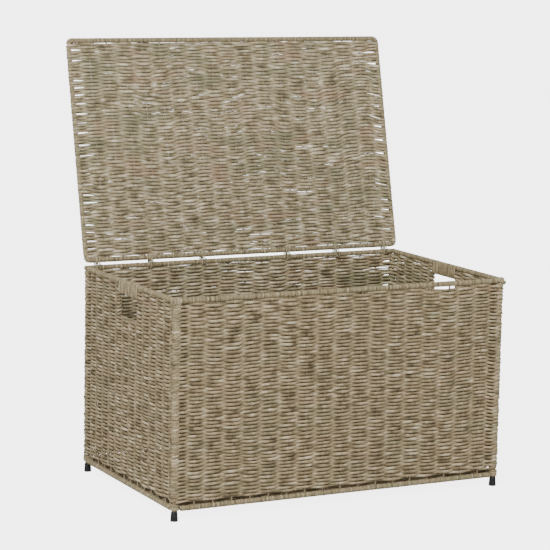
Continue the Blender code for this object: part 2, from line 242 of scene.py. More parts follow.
@dataclass(frozen=True)
class LacqueredWire:
    """Drawn steel wire, welded and dipped in brown lacquer: an even, slightly glossy coat."""

    name: str = "brown lacquered steel wire"
    colour: str = "8a7a60"
    pooled: str = "6c5d47"
    roughness: float = 0.42

    def make(self) -> bpy.types.Material:
        """Build the material.

        Returns:
            A lacquer with slow changes of depth.
        """
        material, tree, shader = new_material(self.name)
        place = add_node(tree, "ShaderNodeTexCoord")
        pool = add_node(tree, "ShaderNodeTexNoise", {"Vector": place.outputs["Object"], "Scale": 60.0,
                                                     "Detail": 3.0})
        coat = ramp(tree, pool.outputs["Fac"], [(0.35, self.pooled), (0.62, self.colour)])
        tree.links.new(coat.outputs[0], shader.inputs["Base Color"])
        shader.inputs["Roughness"].default_value = self.roughness
        shader.inputs["Coat Weight"].default_value = 0.25
        bump = add_node(tree, "ShaderNodeBump", {"Height": pool.outputs["Fac"], "Strength": 0.3,
                                                 "Distance": 0.15 * MM})
        tree.links.new(bump.outputs[0], shader.inputs["Normal"])
        return material


@dataclass(frozen=True)
class MouldedPolythene:
    """Black low-density polythene, injection moulded: satin, with a fine grain and light scuffs."""

    name: str = "black moulded polythene"
    colour: str = "0e0f10"
    scuffed: str = "222426"
    roughness: float = 0.42

    def make(self) -> bpy.types.Material:
        """Build the material.

        Returns:
            A satin black with grain and light scuffs.
        """
        material, tree, shader = new_material(self.name)
        place = add_node(tree, "ShaderNodeTexCoord")
        scuff = add_node(tree, "ShaderNodeTexNoise", {"Vector": place.outputs["Object"], "Scale": 140.0,
                                                      "Detail": 4.0})
        black = ramp(tree, scuff.outputs["Fac"], [(0.5, self.colour), (0.75, self.scuffed)])
        tree.links.new(black.outputs[0], shader.inputs["Base Color"])
        shader.inputs["Roughness"].default_value = self.roughness
        grain = add_node(tree, "ShaderNodeTexNoise", {"Vector": place.outputs["Object"], "Scale": 2500.0})
        bump = add_node(tree, "ShaderNodeBump", {"Height": grain.outputs["Fac"], "Strength": 0.25,
                                                 "Distance": 0.1 * MM})
        tree.links.new(bump.outputs[0], shader.inputs["Normal"])
        return material


@dataclass(frozen=True)
class PaintedBoard:
    """Pale grey emulsion on a smooth board lit from below: flat, with the faintest roller mottle."""

    name: str = "pale emulsion on lit board"
    colour: str = "bfbebc"
    mottle: str = "b8b7b4"
    bounce: float = 0.08  # light it throws back on the trunk beyond its own paint
    glow: float = 4.4  # how brightly it is lit from below, as seen

    def make(self) -> bpy.types.Material:
        """Build the material.

        Returns:
            A pale matt floor.
        """
        material, tree, shader = new_material(self.name)
        place = add_node(tree, "ShaderNodeTexCoord")
        roller = add_node(tree, "ShaderNodeTexNoise", {"Vector": place.outputs["Object"], "Scale": 3.0})
        white = ramp(tree, roller.outputs["Fac"], [(0.3, self.mottle), (0.7, self.colour)])
        tree.links.new(white.outputs[0], shader.inputs["Base Color"])
        shader.inputs["Roughness"].default_value = 0.9
        shader.inputs["Emission Color"].default_value = (1.0, 1.0, 1.0, 1.0)
        seen = add_node(tree, "ShaderNodeLightPath")
        glow = add_node(tree, "ShaderNodeMapRange", {"Value": seen.outputs["Is Camera Ray"],
                                                     "To Min": self.bounce, "To Max": self.glow})
        tree.links.new(glow.outputs[0], shader.inputs["Emission Strength"])
        return material


SEAGRASS_STOPS = {
    Use.WEAVE: ((0.24, "574b33"), (0.42, "8a7a5a"), (0.58, "aa9977"), (0.78, "d7caaa")),
    # Painted light: the panel stops are lighter copies of the weave's, brightening the lid and the insides of
    # the back and right walls.
    Use.PANEL_PAINTED_LIGHT: ((0.26, "685e46"), (0.44, "9a8c6b"), (0.58, "b9ab8b"), (0.74, "e2d8bc")),
    Use.WINDING: ((0.26, "63583e"), (0.44, "897b5a"), (0.60, "a29473"), (0.78, "c4b895")),
    Use.TIE: ((0.28, "756a4e"), (0.50, "9c8f6e"), (0.72, "c4b894")),
}


class Finishes:
    """Every finish of the trunk, made once."""

    def __init__(self) -> None:
        """Make the materials."""
        self.cord = {
            use: TwistedSeagrass(f"twisted seagrass {use.value} cord", stops, "a5876b", "827f60",
                                 0.7 if use is Use.PANEL_PAINTED_LIGHT else 0.4).make()
            for use, stops in SEAGRASS_STOPS.items()
        }
        self.wire = LacqueredWire().make()
        self.cap = MouldedPolythene().make()
        self.floor = PaintedBoard().make()


@dataclass(frozen=True)
class Placing:
    """A flat set of axes for one side of the trunk: across it, up it, and out of it."""

    origin: Vector
    across: Vector
    up: Vector

    @property
    def out(self) -> Vector:
        """The direction out of the side."""
        return self.across.cross(self.up)

    def world(self, points: np.ndarray) -> np.ndarray:
        """Turn points given across, up and out into the frame's own axes.

        Args:
            points: rows of (across, up, out) in metres.

        Returns:
            Rows of (x, y, z).
        """
        axes = np.array([self.across, self.up, self.out])
        return points @ axes + np.array(self.origin)


def tube(name: str, paths: list[np.ndarray], radii: list[np.ndarray], guide: Vector, depth: float,
         material: bpy.types.Material, turn: float = 0.0, sides: int = 6) -> bpy.types.Object:
    """Lay cord along paths, with its length and girth written to a UV map.

    Args:
        name: the piece's name.
        paths: points along the middle of each cord, in metres.
        radii: half the cord's size along the guide, at each of those points.
        guide: a direction that no cord runs along, to keep its section from rolling.
        depth: the cord's size square to the guide, as a share of its size along it.
        material: the cord's finish.
        turn: how far round the first edge starts, as a share of one face.
        sides: faces round the cord.

    Returns:
        One closed mesh object for all the cords.
    """
    corners, quads, caps, uvs = [], [], [], []
    angles = (np.arange(sides) + turn) * 2 * math.pi / sides
    base = 0
    for path, radius in zip(paths, radii):
        count = len(path)
        tangent = np.gradient(path, axis=0)
        tangent /= np.linalg.norm(tangent, axis=1)[:, None]
        rise = np.array(guide) - tangent * (tangent @ np.array(guide))[:, None]
        rise /= np.linalg.norm(rise, axis=1)[:, None]
        side = np.cross(rise, tangent)
        flat = depth * np.cos(angles)[None, :, None] / np.abs(np.cos(angles)).max()
        tall = np.sin(angles)[None, :, None] / np.abs(np.sin(angles)).max()
        ring = flat * side[:, None, :] + tall * rise[:, None, :]
        corners.append((path[:, None, :] + ring * np.asarray(radius)[:, None, None]).reshape(-1, 3))
        i, j = np.meshgrid(np.arange(count - 1), np.arange(sides), indexing="ij")
        a = base + i * sides + j
        b = base + i * sides + (j + 1) % sides
        quads.append(np.stack([a, b, b + sides, a + sides], -1).reshape(-1, 4))
        run = np.concatenate([[0.0], np.cumsum(np.linalg.norm(np.diff(path, axis=0), axis=1))])
        low, high = run[i], run[i + 1]
        near, far = j / sides, (j + 1) / sides
        uvs.append(np.stack([low, near, low, far, high, far, high, near], -1).reshape(-1, 2))
        start = base + np.arange(sides)[::-1]
        caps += [start, base + (count - 1) * sides + np.arange(sides)]
        base += count * sides
    corners, quads, uvs = np.concatenate(corners), np.concatenate(quads), np.concatenate(uvs)
    mesh = bpy.data.meshes.new(name)
    mesh.vertices.add(len(corners))
    mesh.vertices.foreach_set("co", corners.ravel())
    loops = np.concatenate([quads.ravel(), *caps])
    mesh.loops.add(len(loops))
    mesh.loops.foreach_set("vertex_index", loops)
    starts = np.concatenate([np.arange(len(quads)) * 4, len(quads) * 4 + np.arange(len(caps)) * sides])
    mesh.polygons.add(len(starts))
    mesh.polygons.foreach_set("loop_start", starts)
    layer = mesh.uv_layers.new(name="cord")
    flat = np.zeros((len(loops), 2))
    flat[: len(uvs)] = uvs
    layer.data.foreach_set("uv", flat.ravel())
    mesh.update(calc_edges=True)
    mesh.validate()
    mesh.shade_smooth()
    mesh.materials.append(material)
    obj = bpy.data.objects.new(name, mesh)
    bpy.context.scene.collection.objects.link(obj)
    return obj


def smoothed(values: np.ndarray, reach: int, axis: int) -> np.ndarray:
    """Average random values with their neighbours, keeping their spread near one.

    Args:
        values: the random values.
        reach: how many neighbours each way count.
        axis: the direction to smooth in.

    Returns:
        An array of the same shape.
    """
    kernel = np.hanning(2 * reach + 3)[1:-1]
    kernel /= math.sqrt((kernel**2).sum())
    return np.apply_along_axis(lambda line: np.convolve(line, kernel, mode="same"), axis, values)


END_CALM = 0.15  # how uneven the courses are at the end uprights, as a share of elsewhere
GAP_RANGE = (0.6, 1.3)  # gaps vary between these shares of the width asked for
EDGE_GAP_RANGE = (0.5, 1.2)
THIN_RANGE = (0.58, 0.82)  # girth of thin cord, as a share of the usual
DIP_POWER = 9  # a slide fades out within a few courses below the top
PLUMPNESS = 0.05  # how much the cord's girth wanders along it, as a share
GIRTH_RANGE = (0.78, 1.16)
STRAY = 0.14 * MM  # how far the cord's middle wanders
SLIP = 0.16  # how far turns of a winding slide along the rail, as a share of the pitch
BULGE = 0.012  # how unevenly a winding is drawn down on the rail
WINDING_PLUMPNESS = 0.04
WINDING_GIRTH_RANGE = (0.9, 1.08)


@dataclass
class Upright:
    """A stake, post or side rod that the cord passes in front of or behind."""

    across: float
    radius: float
    out: float = 0.0


@dataclass
class WovenSide:
    """One side of the trunk in plain weave: a cord that runs to and fro over and under the uprights."""

    name: str
    node: str
    body: str
    placing: Placing
    uprights: list[Upright]
    bottom: float
    top: float
    seed: int
    lead: int = 0  # 0 or 1: which courses pass outside the first upright
    shift: float = 0.0  # in courses, so that two sides' cords mesh round the post they share
    cord_r: float = WEAVE_CORD_R
    swell: float = SWELL
    slack: float = 2.8 * MM  # how far a turn may stand off the end upright
    lumps: float = 1.0  # how lumpy the cord is, as a share of the usual
    steps: int = 6
    unevenness: float = 0.07
    edge_gap: float = 0.0  # space, in courses, left now and then beside the end uprights
    edge_every: int = 6
    open_share: float = 0.0  # share of crossings where a gap opens between two courses
    open_width: float = 0.45  # how wide such a gap is, in courses
    thin_share: float = 0.0  # share of crossings where the cord is thin enough to let light past
    end_swell: float = 1.0  # how much fatter the cord lies where it meets the next side's round a post
    dips: dict[int, float] = field(default_factory=dict)  # how far the top courses slid down, by upright
    opening: tuple[int, int, float] | None = None  # first and last upright of a hand hole, and its sill
    use: Use = Use.WEAVE
    replaced: tuple[str, ...] = ()
    rng: np.random.Generator = field(init=False)

    def __post_init__(self) -> None:
        """Start the side's own random numbers."""
        self.rng = np.random.default_rng(self.seed)

    @property
    def courses(self) -> int:
        """How many courses fill the side, always an even number."""
        return 2 * round((self.top - self.bottom) / COURSE / 2)

    def pack(self) -> tuple[np.ndarray, np.ndarray]:
        """Beat the courses down on each other, a little unevenly, with a gap here and there.

        Returns:
            The height of each course at each upright, and its thickness there as a share of the usual.
        """
        rows, cols = self.courses, len(self.uprights)
        uneven = smoothed(smoothed(self.rng.standard_normal((rows, cols)), 2, 0), 1, 1)
        calm = np.ones(cols)
        calm[[0, -1]] = END_CALM
        thick = np.clip(1 + self.unevenness * uneven * calm, 0.7, 1.4)
        space = thick.copy()
        opened = self.rng.random((rows, cols)) < self.open_share
        space += opened * self.open_width * self.rng.uniform(*GAP_RANGE, (rows, cols)) * calm
        if self.edge_gap:
            for col in (0, -1):
                gap_rows = np.cumsum(self.rng.integers(self.edge_every - 2, self.edge_every + 3, rows))
                gap_rows = gap_rows[gap_rows < rows - 2]
                space[gap_rows, col] += self.edge_gap * self.rng.uniform(*EDGE_GAP_RANGE, len(gap_rows))
        tops = np.cumsum(space, axis=0)
        scale = rows / tops[-1]
        middles = (tops - space + thick / 2) * scale + self.shift
        thin = self.rng.random((rows, cols)) < self.thin_share
        girth = thick * np.where(thin, self.rng.uniform(*THIN_RANGE, (rows, cols)), 1.0)
        girth[:, [0, -1]] *= self.end_swell
        levels = self.bottom + middles * (self.top - self.bottom) / rows
        for col, fall in self.dips.items():
            levels[:, col] -= fall * np.linspace(0, 1, rows) ** DIP_POWER
        return levels, girth

    def course_points(self, course: int, level: np.ndarray, thick: np.ndarray, first: int,
                      last: int) -> np.ndarray:
        """Lay out one course between two uprights.

        Args:
            course: its number, from the bottom.
            level: its height at every upright.
            thick: its thickness there, as a share of the usual.
            first: the upright it starts from.
            last: the upright it ends at.

        Returns:
            Rows of (across, up, out, radius), always running towards +across.
        """
        station = np.linspace(first, last, (last - first) * self.steps + 1)
        left = np.minimum(station.astype(int), last - 1)
        part = station - left
        ease = (1 - np.cos(math.pi * part)) / 2
        across = np.array([u.across for u in self.uprights])
        sides = 1 - 2 * ((course + self.lead + np.arange(len(self.uprights))) % 2)
        radius = self.cord_r * thick
        reach = SQUEEZE * radius - NESTLE
        out = np.array([u.out + s * (u.radius + r) for u, s, r in zip(self.uprights, sides, reach)])
        swell = 1 + self.swell * np.cos(math.pi * part) ** 2
        return np.stack([
            across[left] * (1 - part) + across[left + 1] * part,
            level[left] * (1 - ease) + level[left + 1] * ease,
            out[left] * (1 - ease) + out[left + 1] * ease,
            (radius[left] * (1 - ease) + radius[left + 1] * ease) * swell,
        ], -1)

    def turn_points(self, upright: Upright, start: np.ndarray, end: np.ndarray, outward: float) -> np.ndarray:
        """Take the cord round an end upright, from one course up to the next.

        Args:
            upright: what it turns round.
            start: the last point of the lower course.
            end: the first point of the upper course.
            outward: +1 at the far end of the side, -1 at the near end.

        Returns:
            Rows of (across, up, out, radius) between the two.
        """
        part = np.linspace(0, 1, 7)[1:-1]
        slack = self.rng.uniform(0.1, 1.0) * self.slack * np.sin(math.pi * part)
        reach = upright.radius + SQUEEZE * self.cord_r + slack
        side = math.copysign(1.0, start[2] - upright.out)
        angle = math.pi * (0.5 - part) * side
        return np.stack([
            upright.across + outward * reach * np.cos(angle),
            start[1] + (end[1] - start[1]) * part,
            upright.out + reach * np.sin(angle),
            (start[3] + (end[3] - start[3]) * part) * (1 - TURN_PULL * np.sin(math.pi * part)),
        ], -1)

    def run(self, levels: np.ndarray, thicks: np.ndarray, courses: range, first: int,
            last: int) -> np.ndarray:
        """Follow one cord to and fro through several courses.

        Args:
            levels: the height of each course at each upright.
            thicks: its thickness there.
            courses: the courses it fills; even ones run towards +across.
            first: the upright at the near end.
            last: the upright at the far end.

        Returns:
            Rows of (across, up, out, radius).
        """
        pieces = []
        for course in courses:
            points = self.course_points(course, levels[course], thicks[course], first, last)
            if course % 2:
                points = points[::-1]
            if pieces:
                at_end = course % 2 == 1
                upright = self.uprights[last if at_end else first]
                pieces.append(self.turn_points(upright, pieces[-1][-1], points[0], 1.0 if at_end else -1.0))
            pieces.append(points)
        return np.concatenate(pieces)

    def build(self, finishes: Finishes) -> bpy.types.Object:
        """Weave the side.

        Args:
            finishes: the trunk's materials.

        Returns:
            The woven side, riding on its body.
        """
        packed = self.pack()
        last = len(self.uprights) - 1
        if self.opening is None:
            runs = [self.run(*packed, range(self.courses), 0, last)]
        else:
            left, right, sill = self.opening
            upper = 2 * int((sill - self.bottom) / (self.top - self.bottom) * self.courses / 2)
            above = range(upper, self.courses)
            runs = [self.run(*packed, range(upper), 0, last), self.run(*packed, above, 0, left),
                    self.run(*packed, above, right, last)]
        radii = []
        for points in runs:
            plump = smoothed(self.rng.standard_normal(len(points)), 2, 0)
            radii.append(points[:, 3] * np.clip(1 + PLUMPNESS * self.lumps * plump, *GIRTH_RANGE))
            stray = STRAY * self.lumps
            points[:, 1] += stray * smoothed(self.rng.standard_normal(len(points)), 1, 0)
            points[:, 2] += stray * smoothed(self.rng.standard_normal(len(points)), 1, 0)
        paths = [self.placing.world(points[:, :3]) for points in runs]
        piece = tube(self.name, paths, radii, self.placing.up, SQUEEZE, finishes.cord[self.use])
        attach(piece, self.body)
        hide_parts(self.node, *self.replaced)
        log.info("%s: %d courses, %d faces", self.name, self.courses, len(piece.data.polygons))
        return piece


@dataclass
class Winding:
    """Cord wound tightly round a rail, a post or a pair of rods."""

    name: str
    body: str
    nodes: tuple[str, ...]
    spine: np.ndarray  # points along the middle of what is wound
    guide: Vector  # square to the spine
    inner: float  # radius of what is wound
    seed: int
    cord_r: float = WINDING_CORD_R
    pitch: float = WINDING_PITCH
    spread: float = 0.0  # half the distance between two rods wound together, along the guide
    segments: int = 10
    slot: str = "seagrass_wrap"
    use: Use = Use.WINDING

    def build(self, finishes: Finishes) -> bpy.types.Object:
        """Wind the cord.

        Args:
            finishes: the trunk's materials.

        Returns:
            The winding, riding on its body.
        """
        rng = np.random.default_rng(self.seed)
        run = np.concatenate([[0.0], np.cumsum(np.linalg.norm(np.diff(self.spine, axis=0), axis=1))])
        usable = run[-1] - 2 * self.cord_r
        turns = max(2, round(usable / self.pitch))
        count = turns * self.segments + 1
        part = np.linspace(0, 1, count)
        slip = smoothed(rng.standard_normal(count), self.segments, 0) * SLIP * self.pitch
        slip *= np.sin(math.pi * part) ** 0.2
        place = self.cord_r + part * usable + slip
        middle = np.stack([np.interp(place, run, self.spine[:, k]) for k in range(3)], -1)
        tangent = np.gradient(self.spine, axis=0)
        tangent /= np.linalg.norm(tangent, axis=1)[:, None]
        along = np.stack([np.interp(place, run, tangent[:, k]) for k in range(3)], -1)
        along /= np.linalg.norm(along, axis=1)[:, None]
        rise = np.tile(np.array(self.guide), (count, 1))
        side = np.cross(along, rise)
        angle = part * turns * 2 * math.pi
        reach = (self.inner + self.cord_r) * (1 + BULGE * smoothed(rng.standard_normal(count), 3, 0))
        up = reach * np.sin(angle) + self.spread * np.sign(np.round(np.sin(angle), 6))
        path = middle + (reach * np.cos(angle))[:, None] * side + up[:, None] * rise
        plump = 1 + WINDING_PLUMPNESS * smoothed(rng.standard_normal(count), 6, 0)
        radius = self.cord_r * np.clip(plump, *WINDING_GIRTH_RANGE)
        piece = tube(self.name, [path], [SPREAD * radius], Vector(along.mean(axis=0)), 1 / SPREAD,
                     finishes.cord[self.use], turn=0.5)
        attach(piece, self.body)
        if self.nodes:
            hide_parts(*self.nodes)
        log.info("%s: %d turns", self.name, turns)
        return piece


def centre(node: str) -> Vector:
    """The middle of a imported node's box."""
    low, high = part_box(node)
    return (low + high) / 2


def straight(start: Vector, end: Vector) -> np.ndarray:
    """Two points as a spine."""
    return np.array([start, end], float)


X, Y, Z = Vector((1, 0, 0)), Vector((0, 1, 0)), Vector((0, 0, 1))


@dataclass
class Trunk:
    """The box of the trunk: four woven walls, a woven floor, wound rails and capped posts."""

    finishes: Finishes
    rim_gap: float = 0.3 * MM  # left between the last course and the rim winding
    hole_height: float = 45 * MM
    turn_room: float = 6.5 * MM  # so that the floor's turns lie against the base windings
    post_cover: float = 2.5 * COURSE  # height of the post that the rim's binding covers
    knob_drop: float = 1.4 * MM  # each corner lashing sags a little below its rail
    knob_inner: float = 4.6 * MM
    knob_cord_r: float = 1.8 * MM
    knob_reach: tuple[float, float] = (8 * MM, 11.5 * MM)  # in from the post's middle, and out past it

    def __post_init__(self) -> None:
        """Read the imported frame."""
        self.post_fl, self.post_fr = centre("post_front_left"), centre("post_front_right")
        self.post_bl = centre("post_back_left")
        low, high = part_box("post_front_left")
        self.post_r = (high.x - low.x) / 2
        self.weave_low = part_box("weave_front")[0]
        self.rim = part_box("wrap_top_front")[0].z
        self.middle = Vector((0, (self.post_fl.y + self.post_bl.y) / 2, 0))

    def side(self, name: str, out: Vector, bays: int, seed: int, lead: int, shift: float) -> WovenSide:
        """Set out one wall.

        Args:
            name: front, back, left or right.
            out: the wall's outward direction.
            bays: spaces between its stakes.
            seed: for its unevenness.
            lead: see WovenSide.
            shift: see WovenSide.

        Returns:
            The wall, ready to weave.
        """
        plane = centre(f"weave_{name}")
        across = Z.cross(out)
        origin = Vector((plane.x, plane.y, 0))
        if out.y:
            origin.x = 0
            half = self.post_fr.x
        else:
            origin.y = self.middle.y
            half = (self.post_bl.y - self.post_fl.y) / 2
        post_out = self.post_fr.x if out.x else self.post_bl.y - self.middle.y
        plane_out = abs((origin - self.middle).dot(out))
        gap = 2 * half / bays
        uprights = [Upright(-half, self.post_r, post_out - plane_out)]
        uprights += [Upright(-half + i * gap, STAKE_R) for i in range(1, bays)]
        uprights.append(Upright(half, self.post_r, post_out - plane_out))
        # The last courses are beaten up against the rim winding.
        top = self.rim - self.rim_gap + max(0.0, -shift) * 1.1 * COURSE
        return WovenSide(f"woven_{name}", f"weave_{name}", "trunk", Placing(origin, across, Z), uprights,
                         self.weave_low.z, top, seed, lead=lead, shift=shift, end_swell=1.06)

    def build(self) -> None:
        """Weave and wind the whole box."""
        front = self.side("front", -Y, BAYS_WIDE, 11, 0, 0.0)
        front.dips = {13: 0.8 * MM, 14: 4.6 * MM, 15: 5.2 * MM, 16: 0.8 * MM}
        front.build(self.finishes)
        right = self.side("right", X, BAYS_DEEP, 12, 0, -0.5)
        back = self.side("back", Y, BAYS_WIDE, 13, 1, 0.0)
        left = self.side("left", -X, BAYS_DEEP, 14, 1, 0.5)
        # The back and right walls take the lighter panel cord: painted light on their insides.
        back.use = right.use = Use.PANEL_PAINTED_LIGHT
        back.edge_gap = 1.3
        back.edge_every = 3
        back.open_share = 0.004
        back.thin_share = 0.08
        back.build(self.finishes)
        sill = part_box("handle_grip_right")[0].z - self.hole_height
        for wall in (right, left):
            wall.swell = 0.26
            wall.thin_share = 0.06 if wall is right else 0.0
            middle = BAYS_DEEP // 2
            wall.opening = (middle - 1, middle + 2, sill)
            wall.build(self.finishes)
        self.floor()
        self.rails()
        self.grips()
        self.posts()

    def floor(self) -> None:
        """Weave the floor."""
        front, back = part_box("wrap_bottom_front")[1].y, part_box("wrap_bottom_back")[0].y
        left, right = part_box("wrap_bottom_left")[1].x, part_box("wrap_bottom_right")[0].x
        gap = 2 * self.post_fr.x / BAYS_WIDE
        uprights = [Upright(-self.post_fr.x + i * gap, STAKE_R) for i in range(1, BAYS_WIDE)]
        ends = [Upright(x, STAKE_R) for x in (left + self.turn_room, right - self.turn_room)]
        uprights = [ends[0], *uprights, ends[1]]
        origin = Vector((0, 0, centre("wire_floor").z))
        WovenSide("woven_floor", "weave_floor", "trunk", Placing(origin, X, Y), uprights,
                  front, back, 15, steps=4, cord_r=0.95 * WEAVE_CORD_R).build(self.finishes)

    def rails(self) -> None:
        """Wind the rim and the base rails."""
        runs = {
            20: ("top_front", "top_back", "bottom_front", "bottom_back"),
            30: ("top_left_front", "top_left_back", "top_right_front", "top_right_back", "bottom_left",
                 "bottom_right"),
        }
        for first_seed, names in runs.items():
            for k, name in enumerate(names):
                low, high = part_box(f"wrap_{name}")
                start, end = (low + high) / 2, (low + high) / 2
                axis = 0 if high.x - low.x > high.y - low.y else 1
                start[axis], end[axis] = low[axis], high[axis]
                Winding(f"winding_{name}", "trunk", (f"wrap_{name}",), straight(start, end), Z, ROD_R,
                        first_seed + k).build(self.finishes)

    def grips(self) -> None:
        """Wind the two grips over the rim rail and the bar below it."""
        for k, side in enumerate(("left", "right")):
            low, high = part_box(f"handle_grip_{side}")
            bar = centre(f"handle_bar_{side}")
            rim = centre(f"wrap_top_{side}_front")
            middle = (bar.z + rim.z) / 2
            spine = straight(Vector((bar.x, low.y, middle)), Vector((bar.x, high.y, middle)))
            Winding(f"winding_grip_{side}", "trunk", (f"handle_grip_{side}",), spine, Z, ROD_R, 40 + k,
                    spread=(rim.z - bar.z) / 2, segments=12, use=Use.WEAVE).build(self.finishes)

    def posts(self) -> None:
        """Wind the foot and the head of each post, and cap its foot."""
        for k, corner in enumerate(("front_left", "front_right", "back_left", "back_right")):
            post = centre(f"post_{corner}")
            low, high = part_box(f"wrap_post_{corner}")
            foot = straight(Vector((post.x, post.y, low.z)), Vector((post.x, post.y, self.weave_low.z)))
            Winding(f"winding_post_{corner}", "trunk", (f"wrap_post_{corner}",), foot, X, self.post_r, 50 + k,
                    cord_r=WEAVE_CORD_R, pitch=COURSE).build(self.finishes)
            neck = Vector((post.x, post.y, self.rim - self.post_cover))
            head = straight(neck, Vector((post.x, post.y, high.z)))
            Winding(f"winding_head_{corner}", "trunk", (), head, X, self.post_r, 60 + k,
                    cord_r=WEAVE_CORD_R, pitch=COURSE).build(self.finishes)
            FootCap(corner).build(self.finishes)
        self.lashings()

    def lashings(self) -> None:
        """Lash the rim to the two front posts."""
        for k, (corner, sign) in enumerate((("left", -1), ("right", 1))):
            post = centre(f"post_front_{corner}")
            rail = centre("wrap_top_front")
            ends = [Vector((x, rail.y, rail.z - self.knob_drop))
                    for x in (post.x - sign * self.knob_reach[0], post.x + sign * self.knob_reach[1])]
            Winding(f"lashing_corner_front_{corner}", "trunk", (), straight(*ends), Z, self.knob_inner,
                    66 + k, cord_r=self.knob_cord_r, pitch=2 * self.knob_cord_r,
                    use=Use.TIE).build(self.finishes)


def pick(obj: bpy.types.Object, kind: str, test: Callable) -> None:
    """Select the parts of a mesh that pass a test, and leave it in edit mode.

    Args:
        obj: the active object, in object mode.
        kind: VERT or FACE.
        test: takes one vertex or face and says whether it is wanted.
    """
    bpy.ops.object.mode_set(mode="EDIT")
    bpy.ops.mesh.select_mode(type=kind)
    bpy.ops.mesh.select_all(action="DESELECT")
    bpy.ops.object.mode_set(mode="OBJECT")
    for part in obj.data.vertices if kind == "VERT" else obj.data.polygons:
        part.select = test(part)
    bpy.ops.object.mode_set(mode="EDIT")


@dataclass
class FootCap:
    """A push-on cap with upright grooves."""

    corner: str
    grooves: int = 12
    groove_depth: float = 0.45 * MM
    groove_wall: float = 0.25 * MM
    edge_round: float = 0.9 * MM
    taper: float = 0.8  # its width at the top as a share of its width at the floor

    def build(self, finishes: Finishes) -> bpy.types.Object:
        """Model the cap.

        Args:
            finishes: the trunk's materials.

        Returns:
            The cap, riding on the trunk.
        """
        low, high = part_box(f"foot_{self.corner}")
        middle = (low + high) / 2
        radius, height = (high.x - low.x) / 2, high.z - low.z
        bpy.ops.object.select_all(action="DESELECT")
        facets = 4 * self.grooves
        tall = height * 2 * math.pi * radius / facets
        bpy.ops.mesh.primitive_cylinder_add(vertices=facets, radius=radius, depth=height, location=middle)
        cap = bpy.context.object
        cap.name = cap.data.name = f"foot_cap_{self.corner}"
        bpy.ops.object.transform_apply(location=True, rotation=True, scale=True)
        pick(cap, "VERT", lambda vertex: vertex.co.z > middle.z)
        bpy.ops.transform.resize(value=(self.taper, self.taper, 1), center_override=middle)
        bpy.ops.object.mode_set(mode="OBJECT")
        pick(cap, "FACE", lambda face: abs(face.normal.z) > 0.9)
        bpy.ops.mesh.bevel(offset=self.edge_round, segments=3, affect="EDGES")
        bpy.ops.object.mode_set(mode="OBJECT")

        def grooved(face: bpy.types.MeshPolygon) -> bool:
            """Tell whether a face is every fourth one of the tall faces."""
            turn = math.atan2(face.center.y - middle.y, face.center.x - middle.x) / (2 * math.pi)
            return face.area > 0.5 * tall and int((turn + 1) * facets) % 4 == 0

        pick(cap, "FACE", grooved)
        bpy.ops.mesh.inset(thickness=self.groove_wall, depth=-self.groove_depth, use_individual=True)
        bpy.ops.object.mode_set(mode="OBJECT")
        bpy.ops.object.shade_smooth_by_angle(angle=math.radians(35))
        cap.data.materials.append(finishes.cap)
        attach(cap, "trunk")
        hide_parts(f"foot_{self.corner}")
        log.info("%s: %d faces", cap.name, len(cap.data.polygons))
        return cap


@dataclass
class Lid:
    """The lid: a wire frame with wound edges and a woven panel."""

    finishes: Finishes
    overlap: float = 3.2 * MM  # how far the courses are beaten in past the panel's plain outline
    tuck: float = 0.3 * MM  # and the last of them a little further, under the front winding
    corner: float = 7 * MM  # bend radius of the edge rod
    leg: float = 2 * MM  # straight part past each bend

    def __post_init__(self) -> None:
        """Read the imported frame."""
        joint = frame["joints"][0]
        self.axis = Vector(joint["pos_m"])
        side = centre("lid_wrap_right")
        to_middle = Vector((0, side.y - self.axis.y, side.z - self.axis.z))
        self.up = to_middle.normalized()
        self.reach = 2 * to_middle.length
        self.half = side.x
        self.placing = Placing(Vector((0, self.axis.y, self.axis.z)), X, self.up)

    def build(self) -> None:
        """Weave the panel and wind the four edges."""
        panel_low, panel_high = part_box("lid_weave")
        margin = (self.reach - self.panel_length(panel_high - panel_low)) / 2 - self.overlap
        gap = 2 * centre("post_front_right").x / BAYS_WIDE
        uprights = [Upright(-self.half, ROD_R)]
        uprights += [Upright((i - BAYS_WIDE / 2) * gap, STAKE_R) for i in range(1, BAYS_WIDE)]
        uprights.append(Upright(self.half, ROD_R))
        # The lid takes the lighter panel cord: painted light.
        WovenSide("woven_lid", "lid_weave", "lid", self.placing, uprights, margin,
                  self.reach - margin + self.tuck, 16, swell=0.28, slack=1.4 * MM, lumps=1.3,
                  unevenness=0.08, edge_gap=1.3, thin_share=0.15, use=Use.PANEL_PAINTED_LIGHT).build(self.finishes)
        for k, (name, far) in enumerate((("back", False), ("front", True))):
            Winding(f"winding_lid_{name}", "lid", (f"lid_wrap_{name}",), self.edge(far), self.placing.out,
                    ROD_R, 70 + k).build(self.finishes)
        for k, (name, sign) in enumerate((("left", -1), ("right", 1))):
            near = self.corner + self.leg
            ends = [(sign * self.half, v, 0.0) for v in (near, self.reach - near)]
            spine = self.placing.world(np.array(ends))
            Winding(f"winding_lid_{name}", "lid", (f"lid_wrap_{name}",), spine, self.placing.out, ROD_R,
                    72 + k).build(self.finishes)

    def panel_length(self, size: Vector) -> float:
        """Work out the leaning panel's own length from its upright box.

        Args:
            size: the box's size.

        Returns:
            The length along the lid.
        """
        lean, rise = self.up.y, self.up.z
        return (size.z * rise - size.y * lean) / (rise**2 - lean**2)

    def edge(self, far: bool) -> np.ndarray:
        """Follow the back or front edge rod, round both corners.

        Args:
            far: true for the front edge.

        Returns:
            Points along the rod.
        """
        points = [(-self.half, self.corner + self.leg)]
        for angle in np.linspace(0, math.pi / 2, 6):
            points.append((-self.half + self.corner * (1 - math.cos(angle)),
                           self.corner * (1 - math.sin(angle))))
        points += [(-a, v) for a, v in reversed(points)]
        flat = np.array([(a, self.reach - v if far else v, 0.0) for a, v in points])
        return self.placing.world(flat)


